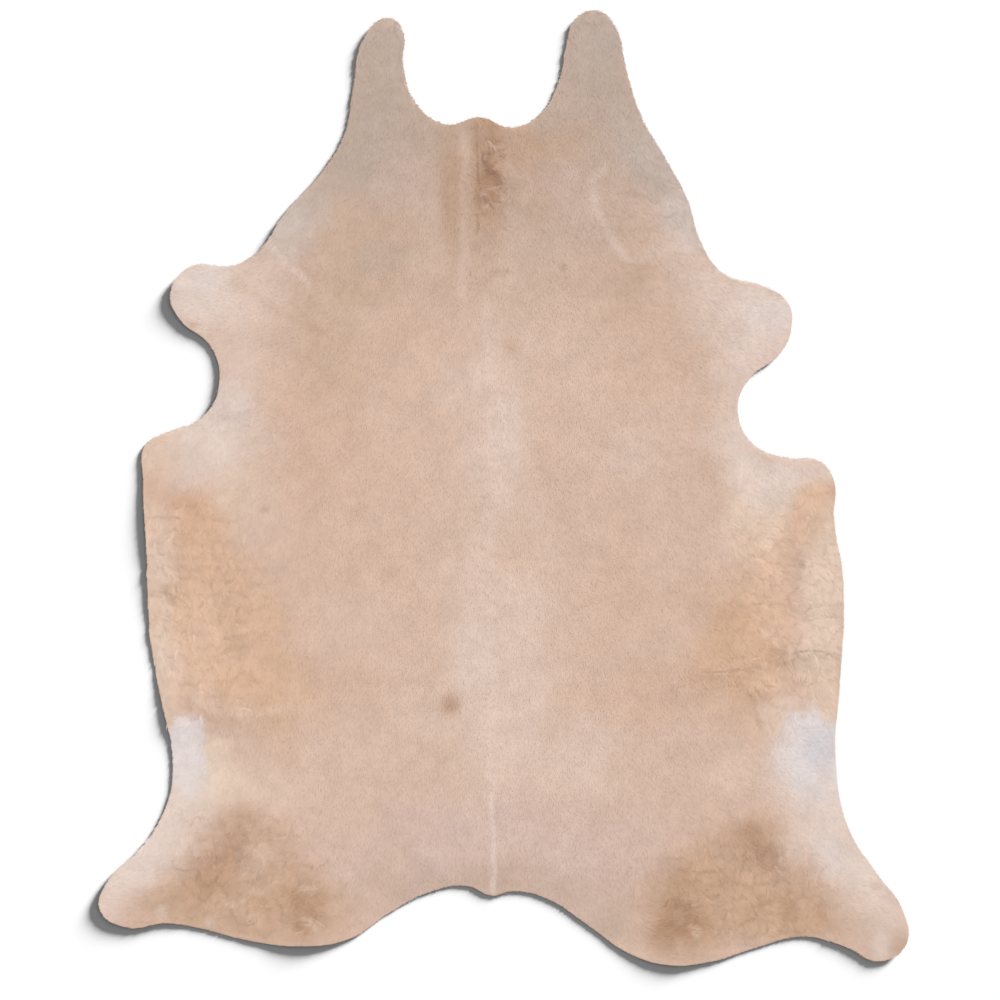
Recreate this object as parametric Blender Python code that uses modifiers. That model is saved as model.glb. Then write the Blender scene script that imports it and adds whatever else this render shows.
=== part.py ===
"""Hair-on cowhide rug, one whole hide lying flat on the floor with its coat up.

Metres, +Z up. +X is the right side seen from above and +Y runs towards the neck.
The origin is on the floor, under the middle of the outline.
"""

from collections import namedtuple
import math

import bmesh
import bpy
from mathutils import Vector
from mathutils.geometry import delaunay_2d_cdt
from mathutils.kdtree import KDTree

# Driving dimensions
LENGTH = 2.130
WIDTH = 1.804
THICKNESS = 0.005
RIM_ROUNDING = 0.0016
RIM_STEPS = 2
CURVE_STEPS = 4
MESH_PITCH = 0.055
RIM_CLEARANCE = 0.026
FLAT_BELOW = 0.0004

COAT_COLOUR = (0.66, 0.48, 0.37, 1.0)
COAT_ROUGHNESS = 0.85

# The trimmed edge, clockwise from the left neck flap. Each section holds its knots as (across, along).
OUTLINE = {
    "left neck flap": ((-0.333, 0.902), (-0.313, 0.998), (-0.260, 1.049), (-0.225, 1.025), (-0.222, 0.940)),
    "neck edge": ((-0.195, 0.861), (-0.126, 0.812), (-0.052, 0.828), (0.021, 0.805), (0.084, 0.837)),
    "right neck flap inside": ((0.124, 0.906), (0.142, 0.991), (0.162, 1.047), (0.209, 1.066)),
    "right neck flap outside": ((0.253, 1.025), (0.273, 0.944)),
    "right shoulder": ((0.307, 0.833), (0.362, 0.737), (0.411, 0.643), (0.443, 0.543), (0.487, 0.481)),
    "right fore leg": ((0.581, 0.450), (0.634, 0.414), (0.643, 0.358), (0.617, 0.298)),
    "right armpit": ((0.550, 0.244), (0.523, 0.173), (0.559, 0.097), (0.630, 0.069)),
    "right flank": ((0.710, 0.058), (0.739, 0.010), (0.738, -0.064), (0.759, -0.217), (0.750, -0.452)),
    "right stifle": ((0.741, -0.585), (0.770, -0.759), (0.840, -0.869)),
    "right hind leg": ((0.889, -0.938), (0.898, -1.020), (0.837, -1.056), (0.764, -1.024), (0.670, -1.001)),
    "right rump": ((0.561, -1.027), (0.472, -1.055), (0.367, -1.064), (0.282, -1.039), (0.193, -0.978)),
    "tail notch": ((0.095, -0.915), (0.017, -0.900), (-0.023, -0.910), (-0.081, -0.888)),
    "left rump": ((-0.164, -0.902), (-0.258, -0.951), (-0.342, -1.006), (-0.454, -1.022), (-0.576, -1.008)),
    "left hind leg": ((-0.677, -0.982), (-0.755, -0.971), (-0.833, -0.981), (-0.898, -0.942),
                      (-0.884, -0.882)),
    "left stifle": ((-0.806, -0.802), (-0.748, -0.704), (-0.737, -0.597), (-0.762, -0.474)),
    "left flank": ((-0.789, -0.318), (-0.795, -0.139), (-0.802, 0.017)),
    "left armpit": ((-0.797, 0.097), (-0.744, 0.127), (-0.668, 0.159), (-0.632, 0.233), (-0.652, 0.316)),
    "left fore leg": ((-0.719, 0.374), (-0.741, 0.429), (-0.699, 0.492), (-0.597, 0.497)),
    "left shoulder": ((-0.539, 0.534), (-0.481, 0.621), (-0.405, 0.704), (-0.351, 0.797)),
}

# Long soft creases where the skin stands a little off the floor, from start to end
Crease = namedtuple("Crease", "name start end half_width height")
CREASES = (
    Crease("spine", (-0.026, -0.84), (-0.026, 0.54), 0.070, 0.0020),
    Crease("neck", (-0.070, 0.79), (-0.060, 0.58), 0.050, 0.0030),
    Crease("left shoulder", (-0.512, 0.556), (-0.425, 0.470), 0.050, 0.0050),
    Crease("left shoulder roll", (-0.430, 0.585), (-0.375, 0.730), 0.055, 0.0030),
    Crease("left armpit", (-0.650, 0.171), (-0.520, 0.150), 0.050, 0.0050),
    Crease("left flank", (-0.735, -0.251), (-0.590, -0.215), 0.060, 0.0030),
    Crease("left stifle", (-0.735, -0.501), (-0.535, -0.485), 0.055, 0.0040),
    Crease("left hind leg", (-0.554, -0.764), (-0.790, -0.900), 0.060, 0.0050),
    Crease("left rump", (-0.390, -0.820), (-0.430, -0.990), 0.060, 0.0040),
    Crease("right neck", (0.215, 0.740), (0.222, 0.585), 0.050, 0.0040),
    Crease("right shoulder", (0.225, 0.580), (0.285, 0.500), 0.050, 0.0040),
    Crease("right fore leg upper", (0.371, 0.541), (0.540, 0.395), 0.055, 0.0045),
    Crease("right fore leg lower", (0.416, 0.500), (0.490, 0.290), 0.055, 0.0035),
    Crease("right flank", (0.745, -0.367), (0.438, -0.411), 0.055, 0.0045),
    Crease("right stifle", (0.535, -0.430), (0.575, -0.490), 0.050, 0.0030),
    Crease("right hind leg", (0.561, -0.786), (0.790, -0.930), 0.060, 0.0050),
    Crease("right rump", (0.394, -0.830), (0.376, -1.000), 0.060, 0.0040),
)

# Places at the rim that curl up off the floor, highest at the tip and fading out over the reach
Curl = namedtuple("Curl", "name tip reach lift")
CURLS = (
    Curl("left neck flap", (-0.262, 1.045), 0.190, 0.0070),
    Curl("right neck flap", (0.205, 1.062), 0.170, 0.0050),
    Curl("neck edge", (-0.052, 0.826), 0.110, 0.0030),
    Curl("left fore leg", (-0.738, 0.440), 0.210, 0.0080),
    Curl("right fore leg", (0.640, 0.370), 0.190, 0.0050),
    Curl("left armpit", (-0.632, 0.250), 0.130, 0.0035),
    Curl("left flank", (-0.797, -0.080), 0.260, 0.0060),
    Curl("right flank", (0.745, -0.160), 0.220, 0.0040),
    Curl("left hind leg", (-0.895, -0.930), 0.230, 0.0070),
    Curl("right hind leg", (0.893, -1.010), 0.220, 0.0060),
    Curl("left rump", (-0.440, -1.022), 0.190, 0.0050),
    Curl("right rump", (0.390, -1.064), 0.190, 0.0050),
)


def clear_scene():
    for item in list(bpy.data.objects):
        bpy.data.objects.remove(item, do_unlink=True)


def trimmed_edge():
    """Points along the trimmed edge, on a smooth closed curve through the knots, fitted to the size."""
    knots = [knot for section in OUTLINE.values() for knot in section]
    curve = bpy.data.curves.new("trimmed edge", "CURVE")
    curve.dimensions = "2D"
    curve.fill_mode = "NONE"
    curve.resolution_u = CURVE_STEPS
    spline = curve.splines.new("BEZIER")
    spline.bezier_points.add(len(knots) - 1)
    spline.use_cyclic_u = True
    for bezier_point, (across, along) in zip(spline.bezier_points, knots):
        bezier_point.co = (across, along, 0.0)
        bezier_point.handle_left_type = "AUTO"
        bezier_point.handle_right_type = "AUTO"
    guide = bpy.data.objects.new("trimmed edge", curve)
    bpy.context.scene.collection.objects.link(guide)
    evaluated = guide.evaluated_get(bpy.context.evaluated_depsgraph_get())
    mesh = bpy.data.meshes.new_from_object(evaluated)
    points = [Vector(vertex.co[:2]) for vertex in mesh.vertices]
    bpy.data.meshes.remove(mesh)
    bpy.data.objects.remove(guide, do_unlink=True)
    bpy.data.curves.remove(curve)
    return fitted_to_size(points)


def fitted_to_size(points):
    low = Vector((min(point.x for point in points), min(point.y for point in points)))
    high = Vector((max(point.x for point in points), max(point.y for point in points)))
    middle = (low + high) / 2
    across_scale = WIDTH / (high.x - low.x)
    along_scale = LENGTH / (high.y - low.y)
    return [
        Vector(((point.x - middle.x) * across_scale, (point.y - middle.y) * along_scale))
        for point in points
    ]


def is_inside(point, edge):
    """Whether a point lies inside the closed edge, by counting the crossings to its right."""
    inside = False
    for start, end in zip(edge, edge[1:] + edge[:1]):
        if (start.y > point.y) != (end.y > point.y):
            crossing = start.x + (point.y - start.y) * (end.x - start.x) / (end.y - start.y)
            if point.x < crossing:
                inside = not inside
    return inside


def inner_points(edge):
    """Staggered rows of points inside the edge, kept clear of it."""
    tree = KDTree(len(edge))
    for index, point in enumerate(edge):
        tree.insert(point.to_3d(), index)
    tree.balance()
    row_gap = MESH_PITCH * math.sqrt(3) / 2
    row_count = int(LENGTH / row_gap)
    column_count = int(WIDTH / MESH_PITCH) + 1
    points = []
    for row in range(row_count):
        stagger = MESH_PITCH / 2 * (row % 2)
        for column in range(column_count):
            point = Vector((column * MESH_PITCH + stagger - WIDTH / 2, (row + 0.5) * row_gap - LENGTH / 2))
            if tree.find(point.to_3d())[2] > RIM_CLEARANCE and is_inside(point, edge):
                points.append(point)
    return points


def crease_height(point, crease):
    """A soft bank across the crease, fading out past both of its ends."""
    start = Vector(crease.start)
    run = Vector(crease.end) - start
    share = max(0.0, min(1.0, (point - start).dot(run) / run.length_squared))
    distance = (point - start - run * share).length
    return crease.height * math.exp(-(distance / crease.half_width) ** 2)


def curl_height(point, curl):
    """A curl that leaves the floor gently and steepens towards the tip."""
    nearness = max(0.0, 1.0 - (point - Vector(curl.tip)).length / curl.reach)
    return curl.lift * nearness ** 1.5


def height_off_floor(point):
    """How far the underside stands off the floor, nothing where the skin lies flat."""
    bank = sum(crease_height(point, crease) for crease in CREASES)
    lift = max(curl_height(point, curl) for curl in CURLS)
    return max(0.0, bank + lift - FLAT_BELOW)


def coat_material():
    material = bpy.data.materials.new("hair-on cowhide")
    material.use_nodes = True
    shader = material.node_tree.nodes["Principled BSDF"]
    shader.inputs["Base Color"].default_value = COAT_COLOUR
    shader.inputs["Roughness"].default_value = COAT_ROUGHNESS
    shader.inputs["Metallic"].default_value = 0.0
    material.diffuse_color = COAT_COLOUR
    return material


def top_sheet(edge):
    """The hide's top surface as one open sheet, raised over its creases and curls."""
    points = edge + inner_points(edge)
    rim = [(index, (index + 1) % len(edge)) for index in range(len(edge))]
    merge_distance = 1e-6
    corners, _, faces, _, _, _ = delaunay_2d_cdt(points, rim, [], 0, merge_distance, False)
    sheet = bmesh.new()
    vertices = [
        sheet.verts.new((corner.x, corner.y, height_off_floor(corner) + THICKNESS))
        for corner in corners
    ]
    for face in faces:
        middle = sum((corners[index] for index in face), Vector((0.0, 0.0))) / len(face)
        if is_inside(middle, edge):
            sheet.faces.new([vertices[index] for index in face])
    bmesh.ops.recalc_face_normals(sheet, faces=sheet.faces)
    if sum(face.normal.z for face in sheet.faces) < 0:
        bmesh.ops.reverse_faces(sheet, faces=sheet.faces)
    mesh = bpy.data.meshes.new("hide")
    sheet.to_mesh(mesh)
    sheet.free()
    return mesh


def build_hide(collection):
    """One closed skin with its coat: the top sheet made solid downwards, its cut edge rounded over."""
    mesh = top_sheet(trimmed_edge())
    mesh.materials.append(coat_material())
    hide = bpy.data.objects.new("hide", mesh)
    collection.objects.link(hide)

    solid = hide.modifiers.new("skin and coat", "SOLIDIFY")
    solid.thickness = THICKNESS
    solid.offset = -1.0

    rim = hide.modifiers.new("rolled rim", "BEVEL")
    rim.width = RIM_ROUNDING
    rim.segments = RIM_STEPS
    rim.limit_method = "ANGLE"
    rim.angle_limit = math.radians(50)

    mesh.shade_smooth()
    mesh.set_sharp_from_angle(angle=math.radians(60))
    return hide


def main():
    clear_scene()
    collection = bpy.data.collections.new("cowhide rug")
    bpy.context.scene.collection.children.link(collection)
    build_hide(collection)


main()
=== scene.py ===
"""Hair-on cowhide rug: the tanned skin, its short coat and the stage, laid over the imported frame.

Metres, +Z up. +X is the right side seen from above and +Y runs along the spine towards the neck.
"""

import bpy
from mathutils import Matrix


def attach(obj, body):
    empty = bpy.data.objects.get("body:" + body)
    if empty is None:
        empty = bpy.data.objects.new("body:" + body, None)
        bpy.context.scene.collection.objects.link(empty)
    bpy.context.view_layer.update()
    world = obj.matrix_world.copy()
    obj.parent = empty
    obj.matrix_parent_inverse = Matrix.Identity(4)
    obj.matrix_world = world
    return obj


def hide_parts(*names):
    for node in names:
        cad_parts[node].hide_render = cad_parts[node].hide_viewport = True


bl_info = {
    "name": "Hair-on Cowhide Rug",
    "version": (1, 0, 0),
    "blender": (4, 5, 0),
    "location": "View3D > Sidebar > Cowhide",
    "description": "Lays out a tanned cowhide and grows its short lying coat",
    "category": "Object",
}

from collections import namedtuple
import math

import bmesh
import bpy
import numpy as np
from mathutils import Vector
from mathutils.bvhtree import BVHTree
from mathutils.geometry import delaunay_2d_cdt
from mathutils.kdtree import KDTree

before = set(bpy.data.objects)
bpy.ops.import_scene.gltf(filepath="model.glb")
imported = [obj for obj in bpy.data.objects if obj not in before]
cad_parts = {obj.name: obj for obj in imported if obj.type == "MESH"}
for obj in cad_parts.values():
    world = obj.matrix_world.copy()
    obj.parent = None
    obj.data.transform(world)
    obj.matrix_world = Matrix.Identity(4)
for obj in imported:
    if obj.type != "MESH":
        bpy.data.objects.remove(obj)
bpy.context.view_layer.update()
CAD_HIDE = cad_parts["hide"]

# The coat's colours, as sRGB hex, each named for what a furrier would call it
COAT = {
    "champagne": "#D5B7A4",
    "pink": "#DFC6B7",
    "lilac": "#D2B7AB",
    "sand": "#D2B19B",
    "tan": "#C5A68E",
    "fawn": "#C5AB9A",
    "smoke": "#B9A698",
    "ash": "#C6B8AF",
    "honey": "#D4AD8D",
    "apricot": "#E0BDA2",
    "straw": "#E3CBB7",
    "cream": "#E3D0C5",
    "milk": "#D2CCCF",
    "chalk": "#E1D6D3",
    "brown": "#C4A083",
    "umber": "#AC8466",
    "bark": "#8F6E55",
    "fox": "#CDA084",
}


def metres(sizes):
    """Sizes or points that are given in millimetres, in metres."""
    if isinstance(sizes, (int, float)):
        return sizes / 1000
    return tuple(metres(size) for size in sizes)


# Tinted areas of the coat in millimetres: middle, long and short radius, then the turn in degrees, the tint
# and how strongly it shows. Later rows lie over earlier ones.
Patch = namedtuple("Patch", "name across along long short turn tint strength")
PATCHES = [Patch(row[0], *metres(row[1:5]), *row[5:]) for row in (
    ("neck shade", 3, 842, 513, 357, 0, "fawn", 1),
    ("pale nape", 14, 318, 201, 100, 0, "pink", 0.2),
    ("right withers glow", 197, 340, 89, 67, 0, "pink", 0.25),
    ("right loin glow", 171, -619, 98, 67, 90, "pink", 0.35),
    ("left loin glow", -264, -619, 80, 54, 0, "pink", 0.2),
    ("left ribs", -353, -72, 245, 134, 90, "sand", 0.45),
    ("left blade", -432, 151, 156, 89, 90, "sand", 0.65),
    ("right ribs", 260, -251, 201, 89, 90, "sand", 0.3),
    ("right loin", 338, -452, 134, 67, 0, "sand", 0.75),
    ("left loin", -420, -429, 156, 54, 0, "sand", 0.55),
    ("rump blush", -8, -831, 335, 134, 0, "lilac", 1),
    ("tail root shade", -8, -893, 245, 54, 0, "fawn", 0.75),
    ("spine glow", -8, -307, 379, 98, 92, "pink", 0.85),
    ("withers glow", -37, 128, 223, 58, 90, "pink", 0.65),
    ("left neck flap", -269, 964, 134, 76, 80, "smoke", 0.65),
    ("left cheek", -293, 786, 134, 112, 90, "smoke", 0.8),
    ("right neck flap", 209, 964, 134, 89, 90, "smoke", 0.75),
    ("right cheek", 255, 831, 112, 100, 110, "smoke", 0.35),
    ("right jaw", 322, 753, 100, 62, 120, "smoke", 0.5),
    ("right cheek rim", 338, 719, 134, 45, 125, "ash", 0.5),
    ("left cheek rim", -387, 697, 112, 40, 50, "smoke", 0.55),
    ("neck", -70, 697, 178, 62, 90, "tan", 0.8),
    ("neck swirl", -32, 719, 116, 27, 90, "umber", 0.9),
    ("neck swirl dark", -37, 697, 49, 25, 90, "bark", 0.3),
    ("left neck tan", -353, 541, 123, 85, 80, "tan", 0.65),
    ("left shoulder grey", -458, 592, 76, 49, 45, "ash", 0.8),
    ("left shoulder rim", -498, 541, 89, 40, 40, "cream", 0.2),
    # Painted shade between the right shoulder's folds
    ("right shoulder grey", 405, 608, 76, 45, 120, "ash", 0.85),
    ("right shoulder pale", 416, 530, 76, 54, 140, "cream", 0.35),
    ("right nape tan", 81, 770, 98, 54, 0, "tan", 0.85),
    ("left nape tan", -235, 552, 58, 49, 90, "tan", 0.5),
    ("right withers shade", 215, 429, 134, 89, 0, "tan", 0.25),
    ("left withers shade", -197, 318, 112, 89, 0, "sand", 0.5),
    ("right neck blush", 293, 518, 100, 58, 100, "tan", 0.4),
    ("left fore leg", -683, 440, 112, 80, 0, "cream", 0.9),
    ("left fore leg root", -565, 440, 100, 80, 0, "cream", 0.25),
    ("left brisket", -599, 295, 100, 67, 90, "cream", 0.3),
    ("left fore leg spot", -681, 365, 13, 7, 0, "umber", 0.3),
    ("left elbow tan", -414, 362, 85, 62, 0, "tan", 0.8),
    ("left elbow smudge", -427, 369, 25, 13, 150, "umber", 0.35),
    ("left elbow low", -405, 258, 67, 49, 90, "tan", 0.3),
    ("right elbow", 331, 329, 134, 100, 0, "sand", 0.6),
    ("left armpit pale", -650, 128, 112, 85, 0, "cream", 0.85),
    ("left armpit white", -601, 191, 49, 31, 160, "milk", 0.3),
    ("left chest corner", -777, 79, 45, 45, 0, "straw", 0.6),
    ("left flank", -628, -229, 279, 94, 115, "honey", 0.65),
    ("left flank low", -554, -440, 134, 67, 0, "honey", 0.6),
    ("left flank glow", -688, -340, 98, 58, 90, "apricot", 1),
    ("left breast glow", -588, -6, 89, 67, 110, "straw", 0.5),
    ("left flank rim", -766, -329, 190, 31, 95, "straw", 0.75),
    ("left chest lock", -762, -61, 36, 20, 60, "fox", 0.5),
    ("left flank lock 1", -748, -233, 31, 18, 130, "brown", 0.7),
    ("left flank lock 2", -730, -144, 27, 16, 50, "fox", 0.3),
    ("left chest band", -726, -10, 76, 31, 145, "fox", 0.45),
    ("left breast tan", -666, -106, 89, 40, 100, "honey", 0.5),
    ("left speck", -527, -39, 11, 7, 0, "umber", 0.4),
    ("left flank pale", -643, -634, 67, 67, 0, "straw", 1),
    ("left flank foot glow", -650, -612, 76, 36, 80, "straw", 0.6),
    ("left stifle", -773, -793, 178, 67, 54, "cream", 1),
    ("left white", -704, -590, 91, 58, 100, "chalk", 0.95),
    ("left hip pale", -543, -652, 134, 49, 0, "straw", 0.45),
    ("left haunch", -588, -831, 134, 107, 0, "brown", 0.45),
    ("left haunch fore", -710, -920, 112, 67, 20, "brown", 0.75),
    ("left haunch aft", -487, -938, 134, 80, 0, "brown", 0.8),
    ("left haunch dark 1", -597, -768, 67, 40, 60, "umber", 0.3),
    ("left haunch dark 2", -650, -857, 76, 45, 40, "umber", 0.35),
    ("left haunch dark 3", -436, -931, 49, 40, 90, "umber", 0.5),
    ("left fleck 1", -434, -886, 20, 9, 160, "straw", 0.45),
    ("left fleck 2", -423, -967, 20, 9, 150, "straw", 0.35),
    ("right fore leg", 554, 391, 125, 98, 0, "cream", 0.85),
    ("right brisket", 523, 184, 178, 54, 90, "cream", 0.5),
    ("right armpit", 583, 28, 94, 54, 150, "cream", 1),
    ("right chest", 688, -32, 89, 54, 65, "honey", 0.7),
    ("right chest corner", 719, -1, 33, 27, 0, "fox", 0.35),
    ("right breast glow", 550, -46, 85, 62, 60, "straw", 0.5),
    ("right flank", 590, -195, 201, 76, 62, "honey", 0.2),
    ("right flank low", 523, -351, 134, 94, 90, "honey", 0.8),
    ("right flank dark", 505, -351, 123, 62, 90, "brown", 0.15),
    # Painted shade where the right flank's crease starts
    ("right flank pit", 605, -378, 31, 18, 0, "brown", 0.6),
    ("right flank rim", 706, -251, 190, 49, 88, "straw", 0.8),
    ("right flank foot rim", 721, -463, 58, 27, 90, "straw", 0.8),
    ("right flank glow", 583, -128, 89, 58, 70, "apricot", 0.7),
    ("right flank foot", 661, -452, 76, 49, 0, "honey", 0.2),
    ("right spot", 655, -164, 9, 7, 20, "bark", 0.45),
    ("right white glow", 652, -619, 134, 76, 90, "cream", 0.8),
    ("right stifle", 762, -775, 234, 62, 112, "cream", 0.9),
    ("right white", 683, -588, 100, 80, 90, "chalk", 0.95),
    ("right white shade", 699, -574, 54, 38, 60, "milk", 0.8),
    ("right white foot", 710, -690, 58, 36, 110, "cream", 0.6),
    ("right haunch", 521, -844, 138, 103, 0, "brown", 0.6),
    ("right haunch fore", 650, -931, 116, 67, 0, "brown", 0.85),
    ("right haunch aft", 427, -920, 125, 94, 0, "brown", 1),
    ("right haunch dark 1", 550, -782, 67, 45, 130, "umber", 0.4),
    ("right haunch swirl", 376, -967, 58, 49, 0, "umber", 0.8),
    ("right flank corner", 668, 43, 69, 29, 0, "cream", 0.75),
    ("right flank corner tan", 697, -14, 31, 38, 0, "apricot", 0.7),
    ("left flank edge", -770, -106, 107, 38, 90, "straw", 0.5),
    ("left flank edge low", -788, -273, 49, 22, 90, "sand", 0.5),
    ("left flank corner", -699, 39, 56, 33, 20, "cream", 0.5),
    ("right belly glow", 594, -407, 42, 29, 0, "apricot", 0.9),
    ("left withers tan", -275, 458, 69, 47, 0, "tan", 0.6),
    ("left haunch brown", -436, -875, 78, 56, 0, "brown", 0.5),
    ("right haunch brown", 594, -956, 54, 58, 0, "brown", 0.65),
    ("right rump shade", 215, -969, 62, 45, 20, "fawn", 0.75),
    ("right stifle light", 661, -775, 62, 47, 40, "cream", 0.45),
    ("left stifle light", -699, -764, 54, 40, 60, "cream", 0.45),
    ("mid back shade", 12, -117, 69, 56, 90, "sand", 0.55),
    ("tail shade", 19, -844, 71, 49, 0, "tan", 0.35),
    ("right hind foot shade", 840, -1009, 49, 45, 0, "fawn", 0.5),
    ("left armpit light", -610, 217, 47, 33, 0, "cream", 0.5),
    ("right fore leg light", 590, 396, 45, 29, 0, "cream", 0.8),
    ("neck edge shade", -41, 753, 161, 103, 0, "umber", 0.22),
    ("left flap end", -262, 993, 45, 58, 0, "ash", 0.3),
    ("right flap end", 209, 998, 54, 67, 0, "ash", 0.3),
    ("right flank glow", 576, -50, 76, 49, 65, "straw", 0.7),
    ("right fore leg pale", 590, 391, 56, 38, 0, "chalk", 0.5),
    ("right shoulder pink", 371, 440, 58, 45, 0, "pink", 0.35),
    ("right nape pink", 104, 708, 62, 49, 0, "lilac", 0.4),
    ("left nape pink", -209, 708, 58, 51, 0, "lilac", 0.35),
    ("right loin pink", 164, -579, 112, 80, 20, "pink", 0.5),
    ("mid back light", -70, -362, 80, 45, 90, "cream", 0.45),
    ("withers light", 14, 128, 80, 42, 90, "cream", 0.42),
    ("left blade shade", -320, 266, 71, 49, 0, "tan", 0.38),
    ("left elbow low shade", -521, 79, 45, 54, 90, "tan", 0.28),
    ("neck root shade", -97, 463, 67, 58, 0, "tan", 0.45),
    ("left nape shade", -269, 512, 58, 49, 0, "smoke", 0.4),
    ("right nape shade", 59, 663, 76, 49, 90, "umber", 0.16),
    ("left crest shade", -106, 652, 98, 33, 90, "umber", 0.45),
    ("left notch shade", -142, 797, 67, 29, 10, "smoke", 0.6),
    ("notch middle shade", -48, 802, 49, 22, 0, "umber", 0.16),
    ("right notch shade", 104, 837, 36, 45, 60, "smoke", 0.55),
    ("left cheek inner shade", -240, 920, 89, 27, 95, "smoke", 0.5),
    ("right flap shade", 209, 953, 58, 45, 90, "smoke", 0.35),
    ("right armpit light", 594, 12, 58, 49, 0, "cream", 0.7),
    ("right elbow light", 483, 124, 58, 38, 0, "cream", 0.45),
    ("right blade light", 282, 84, 62, 49, 0, "cream", 0.24),
    ("left ribs light", -342, -273, 67, 58, 0, "pink", 0.35),
    ("left loin light", -164, -492, 62, 54, 0, "pink", 0.33),
    ("back parting shade", -75, -28, 67, 45, 90, "tan", 0.26),
    ("right white top shade", 590, -536, 45, 40, 0, "honey", 0.32),
    ("right flank edge light", 728, -95, 62, 29, 90, "straw", 0.5),
    ("left shoulder white", -655, 481, 49, 33, 30, "chalk", 0.45),
    ("right loin tan", 416, -233, 58, 54, 0, "brown", 0.22),
    ("left haunch top brown", -489, -802, 67, 38, 130, "brown", 0.32),
    ("left haunch ridge light", -623, -835, 29, 20, 60, "honey", 0.55),
    ("left haunch foot shade", -253, -831, 67, 54, 90, "tan", 0.3),
    ("left haunch red", -418, -927, 38, 31, 0, "umber", 0.3),
    ("left haunch red low", -443, -976, 18, 11, 0, "umber", 0.5),
    ("left haunch low red", -579, -964, 20, 13, 160, "umber", 0.32),
    ("left haunch pale 1", -425, -891, 20, 11, 0, "straw", 0.2),
    ("left haunch pale 2", -414, -969, 18, 11, 0, "straw", 0.15),
    ("left haunch pale 3", -554, -951, 20, 13, 20, "straw", 0.25),
    ("left haunch pale 4", -530, -806, 25, 16, 0, "pink", 0.22),
    ("left haunch pale 5", -576, -842, 18, 16, 0, "pink", 0.3),
    ("left haunch fleck", -753, -944, 13, 16, 0, "cream", 0.4),
    ("left haunch fleck low", -650, -960, 13, 13, 0, "cream", 0.35),
    ("left haunch dark 4", -447, -853, 27, 13, 140, "umber", 0.35),
    ("left haunch dark 5", -536, -913, 20, 13, 0, "umber", 0.22),
    ("right haunch top brown", 512, -797, 71, 40, 20, "brown", 0.3),
    ("right haunch aft dark", 389, -875, 49, 25, 80, "umber", 0.2),
    ("right haunch red", 376, -951, 36, 27, 80, "umber", 0.3),
    ("right haunch tail shade", 594, -938, 62, 45, 0, "umber", 0.2),
    ("right haunch edge light", 746, -893, 54, 36, 100, "cream", 0.3),
    ("right haunch corner", 708, -938, 27, 11, 95, "umber", 0.25),
    ("right hip light", 719, -813, 45, 40, 90, "chalk", 0.38),
    ("right foot pale", 831, -1014, 31, 18, 90, "cream", 0.6),
    ("right foot red", 878, -1018, 22, 18, 60, "tan", 0.7),
    ("right foot fleck", 820, -886, 13, 11, 0, "tan", 0.35),
    ("right haunch low light", 563, -1005, 76, 22, 165, "fawn", 0.45),
    ("right white low light", 672, -675, 36, 40, 0, "chalk", 0.5),
    ("left notch low shade", -135, 797, 62, 25, 5, "umber", 0.14),
    ("withers blush", -119, 240, 62, 45, 90, "pink", 0.42),
    ("left flank inner honey", -521, -273, 45, 45, 0, "honey", 0.4),
    ("right elbow shade", 460, 351, 45, 45, 0, "tan", 0.22),
    ("right hip glow", 505, -630, 54, 45, 0, "straw", 0.4),
    ("right flank inner glow", 594, -273, 45, 45, 0, "apricot", 0.5),
    ("left shoulder blush", -476, 351, 49, 45, 0, "pink", 0.25),
    ("back spot shade", -115, -460, 38, 36, 0, "tan", 0.28),
    ("left flank inner glow", -655, -273, 45, 45, 0, "apricot", 0.5),
    ("right haunch top dark", 507, -762, 40, 31, 0, "umber", 0.18),
    ("right fleck", 416, -989, 11, 11, 0, "straw", 0.5),
    ("back spot", -113, -472, 20, 22, 0, "umber", 0.6),
    ("withers spot", 19, 333, 22, 25, 0, "tan", 0.6),
    ("neck spot", 128, 503, 9, 7, 0, "bark", 0.45),
)]

# How far an area fades out, as a share of its radius: only the two white spots have a clear edge
SOFT_EDGE = 0.65
SHARP_EDGE = 0.20
SHARP_PATCHES = ("left white", "right white")

# How far a lock is shaded like the skin under it, which gives the coat its soft look
SKIN_SHARE = 0.82
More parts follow.
